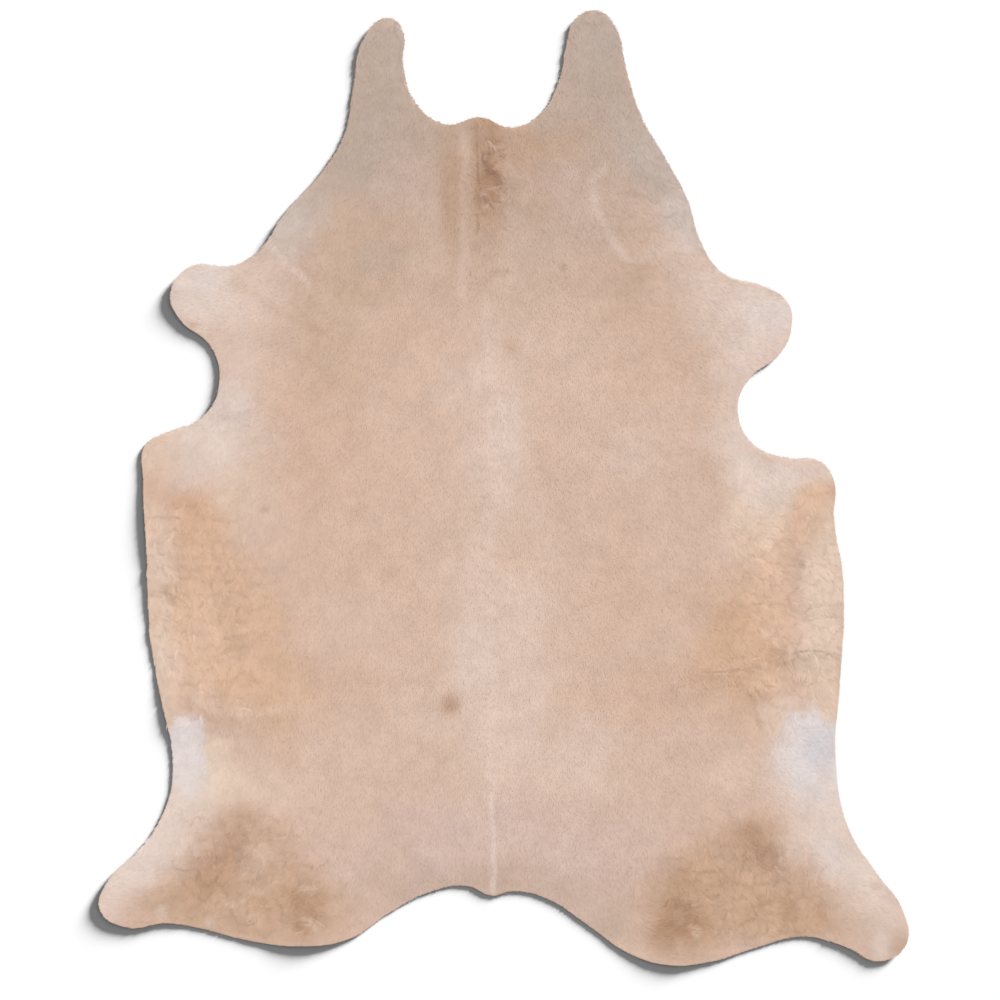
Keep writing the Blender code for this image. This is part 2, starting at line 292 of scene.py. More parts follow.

# Narrow marks that follow a line, in millimetres: pale partings, streaks, and painted light and shade along
# the creases, folds and curls
Mark = namedtuple("Mark", "name points width tint strength")
MARKS = [Mark(row[0], *metres(row[1:3]), *row[3:]) for row in (
    ("neck line", ((-66, 820), (-64, 719), (-57, 630), (-57, 574)), 4, "umber", 0.35),
    ("neck pale band", ((-88, 802), (-86, 641), (-90, 440)), 13.4, "pink", 0.35),
    ("neck brown band", ((-122, 802), (-115, 663), (-106, 507)), 15.6, "tan", 0.45),
    # Painted highlights on the neck's curls, and painted shade under them
    ("neck curl 1", ((-39, 777), (-23, 762), (-19, 739)), 3.6, "cream", 0.3),
    ("neck curl 2", ((-52, 663), (-26, 670), (-1, 663), (-14, 643), (-43, 634)), 4.5, "cream", 0.28),
    ("neck curl shade", ((-30, 748), (-48, 719), (-19, 690)), 11.2, "bark", 0.35),
    ("neck dash", ((-30, 485), (-8, 489), (10, 492)), 4.9, "umber", 0.35),
    ("withers parting", ((-37, 440), (-32, 151), (-30, -162)), 8.9, "cream", 0.2),
    ("loin parting", ((-28, -162), (-23, -429), (-26, -663)), 7.8, "cream", 0.2),
    ("tail parting", ((-28, -675), (-23, -786), (-26, -889)), 5.4, "cream", 0.6),
    # Painted light and shade of the left foreleg's folds: a highlight along the shoulder fold, shade in the
    # elbow and armpit creases
    ("left shoulder crease", ((-521, 561), (-476, 512), (-427, 469)), 5.8, "cream", 0.5),
    ("left elbow crease", ((-588, 469), (-516, 414), (-436, 365)), 11.2, "tan", 0.35),
    ("left armpit crease", ((-628, 171), (-588, 168), (-556, 175)), 5.6, "smoke", 0.3),
    ("left belly line", ((-677, -501), (-588, -510), (-476, -492)), 10, "brown", 0.25),
    ("left belly tufts", ((-686, -465), (-574, -496), (-476, -476)), 11.2, "cream", 0.2),
    ("left haunch ridge", ((-572, -730), (-605, -797), (-650, -875)), 24.5, "umber", 0.3),
    # Painted highlights on the left haunch's curls
    ("left haunch curl 1", ((-539, -793), (-525, -822), (-539, -844)), 5.4, "straw", 0.35),
    ("left haunch curl 2", ((-579, -920), (-552, -893), (-494, -873)), 4.9, "straw", 0.35),
    ("left haunch curl 3", ((-605, -938), (-597, -909), (-614, -918)), 4.5, "straw", 0.3),
    # Painted light and shade of the right shoulder's waves: highlights along the crease and folds, shade on
    # the dark side of the ridge
    ("right neck crease",
     ((226, 726), (197, 690), (204, 630), (226, 574), (260, 530), (282, 514)), 10, "cream", 0.32),
    ("right neck ridge", ((287, 715), (322, 701), (353, 677)), 8.9, "smoke", 0.5),
    ("right shoulder fold 1", ((338, 630), (376, 650), (416, 632)), 13.4, "cream", 0.25),
    ("right shoulder fold 2", ((304, 521), (353, 536), (403, 543)), 13.4, "cream", 0.3),
    ("right shoulder fold 3", ((394, 472), (438, 481), (474, 489)), 11.2, "cream", 0.25),
    # Painted shade in the right flank's crease
    ("right flank crease", ((639, -376), (681, -367), (746, -374)), 4.5, "bark", 0.16),
    ("right flank line", ((420, -409), (498, -414), (556, -396), (643, -382)), 5.8, "umber", 0.2),
    ("right belly tufts", ((554, -449), (568, -487), (576, -523)), 6.7, "umber", 0.3),
    # Painted highlights on the right flank's curls
    ("right flank curl 1", ((568, -309), (579, -331)), 5.4, "straw", 0.45),
    ("right flank curl 2", ((594, -313), (605, -340)), 5.4, "straw", 0.45),
    ("right flank curl 3", ((572, -481), (594, -492)), 6.7, "pink", 0.5),
    ("right haunch ridge", ((545, -759), (568, -791), (599, -822)), 20.1, "umber", 0.35),
    ("right haunch swirl",
     ((353, -938), (385, -920), (403, -951), (385, -987), (358, -978)), 7.8, "bark", 0.25),
)]

# Which way the hair lies: places in millimetres, each with a heading in degrees anticlockwise from +X
Guide = namedtuple("Guide", "across along heading")
GUIDES = [Guide(*metres(row[:2]), row[2]) for row in (
    (-270, 1000, -95), (205, 1000, -86), (-26, 750, -90), (-250, 800, -100), (230, 800, -80),
    (-26, 400, -90), (-350, 600, -116), (330, 600, -64), (-540, 450, -152), (-700, 430, -168),
    (480, 400, -34), (610, 360, -14), (-300, 200, -104), (280, 200, -76), (-520, 150, -124),
    (440, 150, -58), (-26, 0, -90), (-730, 40, -128), (680, 0, -54), (-420, -150, -106), (400, -150, -74),
    (-680, -260, -60), (-560, -260, -122), (560, -260, -58), (690, -260, -40), (-26, -450, -90),
    (-620, -460, -78), (600, -460, -98), (-350, -550, -100), (330, -550, -80), (-700, -600, -140),
    (690, -600, -40), (-560, -820, -118), (540, -840, -62), (-820, -920, -160), (840, -980, -28),
    (-26, -850, -90), (-300, -920, -98), (280, -950, -82),
)]

# Where the hair turns in a whorl, and by how many degrees, and where it stands in curly tufts. All places
# and radii are in millimetres.
Whorl = namedtuple("Whorl", "name across along radius turn")
WHORLS = [Whorl(row[0], *metres(row[1:4]), row[4]) for row in (
    ("neck", -30, 715, 50, 110),
    ("left haunch", -435, -930, 70, -90),
    ("right haunch", 376, -968, 65, 120),
)]
Tuft = namedtuple("Tuft", "name across along long short amount")
TUFTS = [Tuft(row[0], *metres(row[1:5]), row[5]) for row in (
    ("neck", -30, 710, 150, 50, 0.9),
    ("left flank", -690, -280, 380, 230, 0.88),
    ("right flank", 640, -250, 360, 210, 0.85),
    ("left haunch", -560, -850, 200, 260, 1),
    ("right haunch", 530, -890, 180, 260, 1),
    ("left shoulder", -420, 520, 150, 120, 0.35),
    ("right shoulder", 330, 600, 180, 120, 0.45),
    ("spine", -26, -150, 750, 60, 0.35),
)]

# Curled wisps of longer hair that lie over the coat: the line each follows and its width in millimetres,
# and how light it is against the coat. On the curls, a tone above 1 is a painted highlight and one below 1
# painted shade under the curl.
Wisp = namedtuple("Wisp", "points width tone")
WISPS = [Wisp(*metres(row[:2]), row[2]) for row in (
    # On the neck
    (((-39, 779), (-28, 766), (-17, 750), (-23, 728)), 4.5, 1.14),
    (((-52, 657), (-41, 663), (-26, 666), (-10, 670)), 5.4, 1.14),
    (((-12, 663), (-17, 650), (-28, 639)), 4, 1.14),
    (((-35, 657), (-30, 643), (-21, 634), (-6, 632)), 4.9, 1.14),
    (((-39, 750), (-46, 737), (-39, 721)), 5.6, 0.82),
    (((-46, 706), (-28, 704), (-10, 686)), 8.9, 0.9),
    (((-55, 648), (-41, 641), (-28, 628)), 4.5, 0.82),
    (((-59, 815), (-59, 753), (-57, 690), (-55, 630), (-57, 579)), 3.6, 0.9),
    # On the left haunch
    (((-579, -911), (-563, -900), (-530, -895), (-505, -891)), 4.9, 1.07),
    (((-496, -886), (-485, -873), (-478, -862)), 6.7, 1.07),
    (((-445, -886), (-432, -895), (-411, -893)), 7.1, 1.03),
    (((-429, -873), (-423, -886), (-425, -900)), 5.8, 1.07),
    (((-563, -915), (-556, -931), (-532, -931), (-516, -915)), 4.9, 1.07),
    (((-603, -951), (-588, -922), (-565, -886), (-539, -849)), 5.8, 1.07),
    (((-556, -960), (-545, -967), (-530, -967)), 7.8, 1.07),
    (((-434, -958), (-418, -967), (-403, -976)), 6.7, 1.03),
    (((-494, -951), (-483, -938), (-476, -922)), 4.9, 1.07),
    (((-599, -960), (-585, -973), (-568, -969)), 5.6, 0.9),
    (((-427, -938), (-418, -951), (-423, -962)), 5.6, 0.9),
    # On the right haunch
    (((539, -788), (547, -795), (559, -802)), 5.8, 1.07),
    (((545, -813), (556, -824), (561, -837)), 7.6, 1.07),
    (((565, -804), (572, -824), (585, -846)), 10, 0.9),
    (((597, -842), (608, -849), (619, -862)), 6.7, 1.07),
    (((579, -902), (590, -911), (603, -920)), 6.7, 1.07),
    (((483, -898), (496, -913), (507, -931)), 6.7, 1.07),
    (((416, -855), (449, -857), (485, -853)), 4.5, 0.9),
    (((545, -931), (552, -938), (559, -947)), 4.5, 0.9),
    # On the left flank
    (((-739, -200), (-730, -224), (-724, -242), (-712, -255)), 5.8, 0.9),
    (((-784, -231), (-764, -233), (-741, -237)), 4.5, 0.9),
    (((-768, -287), (-746, -295), (-724, -313)), 5.8, 1.07),
    (((-753, -318), (-737, -331), (-730, -353)), 5.8, 1.07),
    (((-699, -300), (-701, -327), (-695, -353), (-683, -376)), 5.8, 1.07),
    (((-737, -374), (-730, -349), (-715, -329)), 5.4, 1.07),
    (((-721, -137), (-706, -142), (-697, -157), (-699, -173)), 4.5, 1.07),
    (((-786, -68), (-759, -66), (-726, -68)), 4, 0.9),
    (((-579, -264), (-574, -280), (-585, -295)), 5.4, 1.07),
    (((-599, -302), (-592, -311), (-588, -320)), 6.7, 1.14),
    (((-690, -465), (-679, -458), (-666, -460)), 5.4, 1.14),
    (((-592, -498), (-579, -494), (-565, -498)), 6.7, 1.14),
    (((-753, -351), (-739, -340), (-724, -345)), 4.5, 0.9),
    # On the right flank
    (((565, -260), (579, -278), (592, -300), (597, -324)), 5.8, 1.07),
    (((550, -280), (565, -304), (581, -331), (588, -353)), 5.8, 1.07),
    (((621, -269), (612, -295), (597, -320)), 5.4, 1.07),
    (((661, -291), (688, -275), (726, -269)), 4.9, 1.07),
    (((668, -311), (697, -298), (728, -295)), 4.9, 1.07),
    (((590, -322), (597, -338), (605, -349)), 5.8, 1.14),
    (((545, -389), (554, -385), (565, -380)), 5.8, 1.14),
    (((623, -380), (634, -385), (643, -378)), 5.4, 1.14),
    # Painted shade along the right flank's crease
    (((639, -374), (668, -365), (701, -365), (748, -374)), 4, 0.82),
    (((440, -411), (487, -411), (532, -405), (565, -400)), 4, 0.9),
    (((590, -358), (608, -365), (623, -369)), 11.2, 0.9),
    (((532, -452), (554, -447), (570, -460)), 4.5, 0.9),
)]
CHANCE_WISPS = 220
# Tones of the chance wisps: above 1 a painted highlight on the curl, below 1 painted shade under it
CHANCE_CURL_LIGHT_AND_SHADE = (1.05, 1.08, 0.94, 0.90)

# How curly the smooth coat is, and where a curly place starts and stops fading, as shares of its radius
SMOOTH_CURL = 0.12
CURL_FADE = (0.35, 1.15)

# How far an area's edge wanders, in metres and as a share of its short radius, how far a mark does, and how
# strongly the whole coat is mottled
PATCH_WANDER = 0.020
PATCH_WANDER_SHARE = 0.25
MARK_WANDER = 0.005
MOTTLE_STRENGTH = 0.13

# Bulges of a wavering edge, and the coat's mottling, as metres across
EDGE_BULGE, EDGE_RIPPLE = 0.085, 0.030
BROAD_MOTTLE, FINE_MOTTLE = 0.048, 0.022

# How close to a guide its heading rules alone, how far the hair sways where it is smooth and how much more
# where it is curly, in degrees, and the sizes of that sway
GUIDE_REACH = 0.03
SMOOTH_SWAY, CURLY_SWAY = 6, 34
BROAD_SWAY, FINE_SWAY = 0.055, 0.024

# How far a lock strays from the way the hair lies, in radians: by chance, with its tuft, and towards the
# line through its tuft's middle
STRAY, TUFT_TURN, TUFT_CLOSING = 0.07, 1.2, 0.4

# Streaks along the lying hair: how far each runs and how broad it is, in the fine coat and between curls
STREAK_RUN, STREAK_BREADTH = 0.030, 0.0055
CURL_RUN, CURL_BREADTH = 0.045, 0.014

# How much of a lock's lift follows its streak, and its tuft. No lock lies flatter than the least share.
STREAK_LIFT, TUFT_LIFT, LEAST_LIFT = 0.3, 0.6, 0.2

# A lock's tone: the coat's own, and how far it follows its streak, the mottling and chance, and where it is
# curly also the curl that it is in, its tuft, and its place on the tuft, which paints light on the tuft's
# raised downstream end and shade on its other end
COAT_TONE, STREAK_TONE, MOTTLE_TONE, CHANCE_TONE = 1.01, 0.02, 0.03, 0.006
CURL_TONE, TUFT_TONE, CREST_LIGHT_AND_SHADE = 0.13, 0.08, 0.02

# How far hair may reach past the trimmed edge: lying coat and wisps, and the hair that rolls over the rim.
# No lock is trimmed below the least share of its length.
COAT_OVERHANG = 0.0020
RIM_OVERHANG = 0.0030
LEAST_LENGTH = 0.2

# The shorter locks at the rim: length, width, how far inside the edge they grow, how much they lean out over
# it against the lying coat, how far they stray, and how high their tips stand
RIM_LENGTH, RIM_WIDTH = 0.009, 0.0017
RIM_ROOTS = (0.0005, 0.0040)
RIM_LEAN, RIM_STRAY = 0.9, 0.25
RIM_LIFTS = (-0.0012, 0.0010)

# The locks of the wisps: length and width. Then the wisps laid by chance: length and width of a whole wisp,
# and how far it curls over and strays from the way the hair lies, in radians.
WISP_LENGTH, WISP_WIDTH = 0.010, 0.0020
CHANCE_LENGTHS, CHANCE_WIDTHS = (0.014, 0.034), (0.0035, 0.0075)
CHANCE_CURL, CHANCE_STRAY = 1.4, 0.9

# The spine's place across the hide, which parts the coat's left pieces from its right ones
SPINE = -0.026

# The middle of the picture on the floor, and the seed that grows the same coat on every run
FRAME_MIDDLE = (-0.008, -0.028)
SEED = 7


def linear(hex_text):
    """An sRGB hex colour as linear red, green and blue."""
    channels = [int(hex_text[start:start + 2], 16) / 255 for start in (1, 3, 5)]
    return tuple(c / 12.92 if c <= 0.04045 else ((c + 0.055) / 1.055) ** 2.4 for c in channels)


class HideSettings(bpy.types.PropertyGroup):
    """Sizes and colours of the tanned skin and its coat."""

    skin_thickness: bpy.props.FloatProperty(
        name="Skin thickness", description="Tanned skin without its hair",
        default=0.0026, min=0.001, max=0.006, unit="LENGTH")
    skin_pitch: bpy.props.FloatProperty(
        name="Skin mesh pitch", description="Distance between the points of the skin's mesh",
        default=0.013, min=0.006, max=0.05, unit="LENGTH")
    hair_length: bpy.props.FloatProperty(
        name="Hair length", description="Length of a lock of short lying hair",
        default=0.020, min=0.004, max=0.06, unit="LENGTH")
    hair_lift: bpy.props.FloatProperty(
        name="Hair lift", description="How far the tips stand off the skin where the coat lies smooth",
        default=0.0007, min=0.0002, max=0.01, unit="LENGTH")
    tuft_size: bpy.props.FloatProperty(
        name="Tuft size", description="Distance between tufts where the coat is curly",
        default=0.028, min=0.005, max=0.1, unit="LENGTH")
    lock_width: bpy.props.FloatProperty(
        name="Lock width", description="Width of one lock of hair at its widest",
        default=0.0026, min=0.0005, max=0.01, unit="LENGTH")
    locks_per_square_metre: bpy.props.IntProperty(
        name="Locks per square metre", description="How densely the coat grows",
        default=139000, min=1000, max=150000)
    wisp_fullness: bpy.props.IntProperty(
        name="Wisp fullness", description="Locks on each square metre of a curled wisp",
        default=240000, min=1000)
    rim_lock_spacing: bpy.props.FloatProperty(
        name="Rim lock spacing", description="Distance between the locks that roll over the trimmed edge",
        default=0.0016, min=0.0008, max=0.02, unit="LENGTH")
    suede_colour: bpy.props.FloatVectorProperty(
        name="Flesh side colour", description="Colour of the suede underside",
        subtype="COLOR", size=3, min=0.0, max=1.0, default=linear("#C4AF9C"))


class StageSettings(bpy.types.PropertyGroup):
    """The floor, the lights and the camera."""

    frame_width: bpy.props.FloatProperty(
        name="Frame width", description="Width of floor that the picture shows",
        default=2.23, min=0.5, unit="LENGTH")
    camera_height: bpy.props.FloatProperty(
        name="Camera height", description="Height of the camera above the hide",
        default=8.0, min=1.0, unit="LENGTH")
    key_strength: bpy.props.FloatProperty(
        name="Key strength", description="Strength of the light from the upper right",
        default=1.22, min=0.0)
    floor_key_strength: bpy.props.FloatProperty(
        name="Floor key strength",
        description="Strength of the low light on the floor, which draws the soft shadow",
        default=67.0, min=0.0)
    sky_strength: bpy.props.FloatProperty(
        name="Sky strength", description="Strength of the even light from all around",
        default=0.75, min=0.0)


def smoothstep(low, high, value):
    """A smooth rise from 0 at the low value to 1 at the high one."""
    share = np.clip((value - low) / (high - low), 0.0, 1.0)
    return share * share * (3 - 2 * share)


def soft_noise(points, size, seed):
    """Smooth noise from -1 to 1 over the floor plan, with features about size across."""
    table = np.random.default_rng(seed).uniform(-1, 1, (256, 256))
    lattice = points / size
    cell = np.floor(lattice).astype(int)
    share = lattice - cell
    share = share * share * (3 - 2 * share)
    x0, y0 = cell[:, 0] & 255, cell[:, 1] & 255
    x1, y1 = (x0 + 1) & 255, (y0 + 1) & 255
    low = table[x0, y0] * (1 - share[:, 0]) + table[x1, y0] * share[:, 0]
    high = table[x0, y1] * (1 - share[:, 0]) + table[x1, y1] * share[:, 0]
    return low * (1 - share[:, 1]) + high * share[:, 1]


def patch_cover(points, patch, edge):
    """How much of a patch covers each point: 1 in its middle, 0 outside, with an uneven edge."""
    turn = math.radians(patch.turn)
    offset = points - (patch.across, patch.along)
    along = offset[:, 0] * math.cos(turn) + offset[:, 1] * math.sin(turn)
    across = offset[:, 1] * math.cos(turn) - offset[:, 0] * math.sin(turn)
    radius = np.hypot(along / patch.long, across / patch.short)
    return 1 - smoothstep(1 - edge, 1 + edge, radius)


def uneven(points, amount):
    """The points pushed about a little, so that no patch has a drawn edge."""
    pushes = [soft_noise(points, EDGE_BULGE, seed) + 0.5 * soft_noise(points, EDGE_RIPPLE, seed + 1)
              for seed in (21, 23)]
    return points + amount * np.stack(pushes, 1)


def mark_cover(points, mark):
    """How much of a narrow mark covers each point, fading out across and at both ends."""
    nearest = np.full(len(points), np.inf)
    for start, end in zip(mark.points, mark.points[1:]):
        start = np.array(start)
        run = np.array(end) - start
        share = np.clip((points - start) @ run / (run @ run), 0, 1)
        nearest = np.minimum(nearest, np.linalg.norm(points - start - share[:, None] * run, axis=1))
    return np.exp(-(nearest / mark.width) ** 2)


def blend(colour, tint, cover):
    """Moves the colour at each point towards a tint, by how much of it the tint covers."""
    colour += cover[:, None] * (tint - colour)


def coat_tint(points):
    """The coat's linear colour at each point of the floor plan."""
    tints = {name: np.array(linear(text)) for name, text in COAT.items()}
    colour = np.tile(tints["champagne"], (len(points), 1))
    for patch in PATCHES:
        edge = SHARP_EDGE if patch.name in SHARP_PATCHES else SOFT_EDGE
        wavering = uneven(points, min(PATCH_WANDER, PATCH_WANDER_SHARE * patch.short))
        blend(colour, tints[patch.tint], patch.strength * patch_cover(wavering, patch, edge))
    mottle = soft_noise(points, BROAD_MOTTLE, 51) + 0.8 * soft_noise(points, FINE_MOTTLE, 52)
    for tint, share in (("pink", np.clip(mottle, 0, 1)), ("tan", np.clip(-mottle, 0, 1))):
        blend(colour, tints[tint], MOTTLE_STRENGTH * share)
    wavering = uneven(points, MARK_WANDER)
    for mark in MARKS:
        blend(colour, tints[mark.tint], mark.strength * mark_cover(wavering, mark))
    return colour


def tufting(points):
    """How curly and tufted the coat is at each point, from 0 to 1."""
    amount = np.full(len(points), SMOOTH_CURL)
    for tuft in TUFTS:
        radius = np.hypot((points[:, 0] - tuft.across) / tuft.short, (points[:, 1] - tuft.along) / tuft.long)
        amount = np.maximum(amount, tuft.amount * (1 - smoothstep(*CURL_FADE, radius)))
    return amount


def tuft_middles(points, size, seed):
    """Where each point lies from the middle of its tuft, and two random numbers from 0 to 1 for that tuft."""
    margin, spread = 0.15, 0.7  # keeps the middles of neighbouring tufts apart, as shares of a cell
    table = np.random.default_rng(seed).random((64, 64, 4))
    cell = np.floor(points / size).astype(int)
    nearest = np.full(len(points), np.inf)
    offset = np.zeros_like(points)
    chance = np.zeros_like(points)
    for step in ((x, y) for x in (-1, 0, 1) for y in (-1, 0, 1)):
        near = cell + step
        entry = table[near[:, 0] & 63, near[:, 1] & 63]
        away = points - (near + margin + spread * entry[:, :2]) * size
        distance = np.linalg.norm(away, axis=1)
        closer = distance < nearest
        nearest[closer] = distance[closer]
        offset[closer] = away[closer]
        chance[closer] = entry[closer, 2:]
    return offset, chance


def hair_heading(points):
    """The way the hair lies at each point, as an angle from +X."""
    places = np.array([(guide.across, guide.along) for guide in GUIDES])
    headings = np.radians([guide.heading for guide in GUIDES])
    away = np.linalg.norm(points[:, None] - places[None], axis=2)
    weight = 1 / (away + GUIDE_REACH) ** 3
    angle = np.arctan2(weight @ np.sin(headings), weight @ np.cos(headings))
    for whorl in WHORLS:
        radius = np.hypot(points[:, 0] - whorl.across, points[:, 1] - whorl.along)
        angle += math.radians(whorl.turn) * np.exp(-(radius / whorl.radius) ** 2)
    wave = soft_noise(points, BROAD_SWAY, 31) + 0.6 * soft_noise(points, FINE_SWAY, 32)
    return angle + np.radians(SMOOTH_SWAY + CURLY_SWAY * tufting(points)) * wave


def along_hair(points, reach, size, seed, steps=5):
    """Noise smeared along the way the hair lies, so that it reads as streaks and tufts."""
    total = np.zeros(len(points))
    place = points.copy()
    for _ in range(steps):
        total += soft_noise(place, size, seed)
        angle = hair_heading(place)
        place -= (reach / steps) * np.stack((np.cos(angle), np.sin(angle)), 1)
    return total / steps


def cad_underside():
    """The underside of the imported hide, as a tree to measure heights on and its rim in order."""
    shell = bmesh.new()
    shell.from_mesh(CAD_HIDE.data)
    bmesh.ops.remove_doubles(shell, verts=shell.verts, dist=1e-6)
    facing_down = -0.98
    upper = [face for face in shell.faces if face.normal.z > facing_down]
    bmesh.ops.delete(shell, geom=upper, context="FACES")
    edge = next(edge for edge in shell.edges if edge.is_boundary)
    rim = [edge.verts[0], edge.verts[1]]
    while True:
        onward = [e for e in rim[-1].link_edges if e.is_boundary and rim[-2] not in e.verts]
        step = onward[0].other_vert(rim[-1])
        if step is rim[0]:
            break
        rim.append(step)
    outline = np.array([vertex.co[:2] for vertex in rim])
    tree = BVHTree.FromBMesh(shell)
    shell.free()
    return tree, outline


def smooth_outline(outline, steps):
    """More points on a smooth closed curve through the outline."""
    before, after, beyond = np.roll(outline, 1, 0), np.roll(outline, -1, 0), np.roll(outline, -2, 0)
    finer = []
    for step in range(steps):
        t = step / steps
        finer.append(0.5 * (2 * outline + (after - before) * t
                            + (2 * before - 5 * outline + 4 * after - beyond) * t ** 2
                            + (3 * outline - before - 3 * after + beyond) * t ** 3))
    return np.stack(finer, 1).reshape(-1, 2)


def signed_area(outline):
    """The area inside a closed outline, above 0 where it runs anticlockwise."""
    following = np.roll(outline, -1, 0)
    return 0.5 * np.sum(outline[:, 0] * following[:, 1] - following[:, 0] * outline[:, 1])


def inside(points, outline):
    """Which points lie inside the closed outline."""
    crossings = np.zeros(len(points), int)
    for start, end in zip(outline, np.roll(outline, -1, 0)):
        if start[1] == end[1]:
            continue
        spans = (start[1] > points[:, 1]) != (end[1] > points[:, 1])
        where = start[0] + (points[:, 1] - start[1]) * (end[0] - start[0]) / (end[1] - start[1])
        crossings += spans & (points[:, 0] < where)
    return crossings % 2 == 1


class Ground:
    """The skin's plan and height, which every piece of the coat grows on."""

    def __init__(self, settings):
        self.tree, coarse = cad_underside()
        if signed_area(coarse) < 0:
            coarse = coarse[::-1]
        self.outline = smooth_outline(coarse, 4)
        run = np.roll(self.outline, -1, 0) - np.roll(self.outline, 1, 0)
        run /= np.linalg.norm(run, axis=1)[:, None]
        self.outward = np.stack((run[:, 1], -run[:, 0]), 1)
        self.rim_tree = KDTree(len(self.outline))
        for index, (x, y) in enumerate(self.outline):
            self.rim_tree.insert((x, y, 0.0), index)
        self.rim_tree.balance()
        self.build_sheet(settings.skin_pitch)

    def height(self, point):
        """How high the skin's underside lies over the floor at a point of the plan."""
        hit = self.tree.ray_cast(Vector((point[0], point[1], -1.0)), Vector((0, 0, 1)))[0]
        if hit is None:
            hit = self.tree.find_nearest(Vector((point[0], point[1], 0.0)))[0]
        return max(0.0, hit.z)

    def rim_distance(self, point):
        """How far a point lies inside the rim, negative outside it."""
        _, index, _ = self.rim_tree.find((point[0], point[1], 0.0))
        return float(np.dot(self.outline[index] - point, self.outward[index]))

    def build_sheet(self, pitch):
        """The skin's plan as even triangles inside the outline, with the height of each corner."""
        low, high = self.outline.min(0), self.outline.max(0)
        rows = np.arange(low[1] + pitch / 2, high[1], pitch * math.sqrt(3) / 2)
        columns = np.arange(low[0] + pitch / 2, high[0], pitch)
        grid = np.array([(x + pitch / 2 * (row % 2), y) for row, y in enumerate(rows) for x in columns])
        grid = grid[inside(grid, self.outline)]
        least_gap = 0.6 * pitch
        clear = [self.rim_tree.find((x, y, 0.0))[2] > least_gap for x, y in grid]
        points = np.vstack((self.outline, grid[clear]))
        count = len(self.outline)
        loop = [(index, (index + 1) % count) for index in range(count)]
        corners, _, faces, _, _, _ = delaunay_2d_cdt([Vector(p) for p in points], loop, [], 0, 1e-6, False)
        self.plan = np.array([corner[:] for corner in corners])
        faces = np.array(faces)
        self.faces = faces[inside(self.plan[faces].mean(1), self.outline)]
        turned = self.plan[self.faces]
        across = np.cross(turned[:, 1] - turned[:, 0], turned[:, 2] - turned[:, 0])
        self.faces[across < 0] = self.faces[across < 0][:, ::-1]
        self.heights = np.array([self.height(point) for point in self.plan])
        self.smooth_heights(rounds=8)

    def smooth_heights(self, rounds):
        """Rounds off the facets that the heights were measured on."""
        pairs = np.vstack((self.faces[:, :2], self.faces[:, 1:], self.faces[:, ::2]))
        for _ in range(rounds):
            total = np.zeros(len(self.plan))
            count = np.zeros(len(self.plan))
            for first, second in ((0, 1), (1, 0)):
                np.add.at(total, pairs[:, first], self.heights[pairs[:, second]])
                np.add.at(count, pairs[:, first], 1)
            self.heights = 0.5 * self.heights + 0.5 * total / np.maximum(count, 1)


_ground = []


def ground():
    """The one ground that all operators share."""
    if not _ground:
        _ground.append(Ground(bpy.context.scene.cowhide))
    return _ground[0]


def add_node(tree, kind, settings=None, links=None):
    """Adds a node, sets its properties and input values, and links its inputs, by name or place."""
    node = tree.nodes.new(kind)
    for name, value in (settings or {}).items():
        if name in node.inputs:
            node.inputs[name].default_value = value
        else:
            setattr(node, name, value)
    for name, source in (links or {}).items():
        tree.links.new(source, node.inputs[name])
    return node


def new_material(name):
    """A material with an empty node tree."""
    material = bpy.data.materials.new(name)
    material.use_nodes = True
    material.node_tree.nodes.clear()
    return material, material.node_tree


def colour_attribute(mesh, name, colours):
    """Stores a linear colour at each point of the mesh."""
    layer = mesh.attributes.new(name, "FLOAT_COLOR", "POINT")
    rgba = np.ones((len(mesh.vertices), 4), np.float32)
    rgba[:, :3] = colours
    layer.data.foreach_set("color", rgba.ravel())


def plan_map(mesh, plan):
    """A flat map of the plan seen from above, in metres over a square that holds the whole hide."""
    span = 2.4
    layer = mesh.uv_layers.new(name="OFBake")
    corners = np.empty(len(mesh.loops), int)
    mesh.loops.foreach_get("vertex_index", corners)
    layer.data.foreach_set("uv", (plan[corners] / span + 0.5).astype(np.float32).ravel())


def hair_material():
    """Short cattle hair: each hair is a smooth keratin rod, so the coat is soft and matt with a low sheen."""
    material, tree = new_material("cattle hair")
    tint = add_node(tree, "ShaderNodeAttribute", {"attribute_name": "coat_tint"})
    strand = add_node(tree, "ShaderNodeAttribute", {"attribute_name": "strand"})
    strand_mm = 0.5  # real hairs are about 0.1 mm across: drawn coarser, so that they show
    strands = add_node(tree, "ShaderNodeTexNoise", {
        "noise_dimensions": "1D", "Scale": 1000 / strand_mm, "Detail": 1.0}, {"W": strand.outputs["Fac"]})
    lightness = add_node(tree, "ShaderNodeMapRange", {
        "From Min": 0.25, "From Max": 0.75, "To Min": 0.86, "To Max": 1.14,
    }, {"Value": strands.outputs["Fac"]})
    colour = add_node(tree, "ShaderNodeVectorMath", {"operation": "SCALE"},
                      {"Vector": tint.outputs["Color"], "Scale": lightness.outputs["Result"]})
    dullness = add_node(tree, "ShaderNodeMapRange", {"To Min": 0.55, "To Max": 0.75},
                        {"Value": strands.outputs["Fac"]})
    shader = add_node(tree, "ShaderNodeBsdfPrincipled", {
        "IOR": 1.55, "Specular IOR Level": 0.25, "Sheen Weight": 0.18, "Sheen Roughness": 0.5,
    }, {"Base Color": colour.outputs["Vector"], "Roughness": dullness.outputs["Result"]})
    add_node(tree, "ShaderNodeOutputMaterial", links={"Surface": shader.outputs["BSDF"]})
    return material


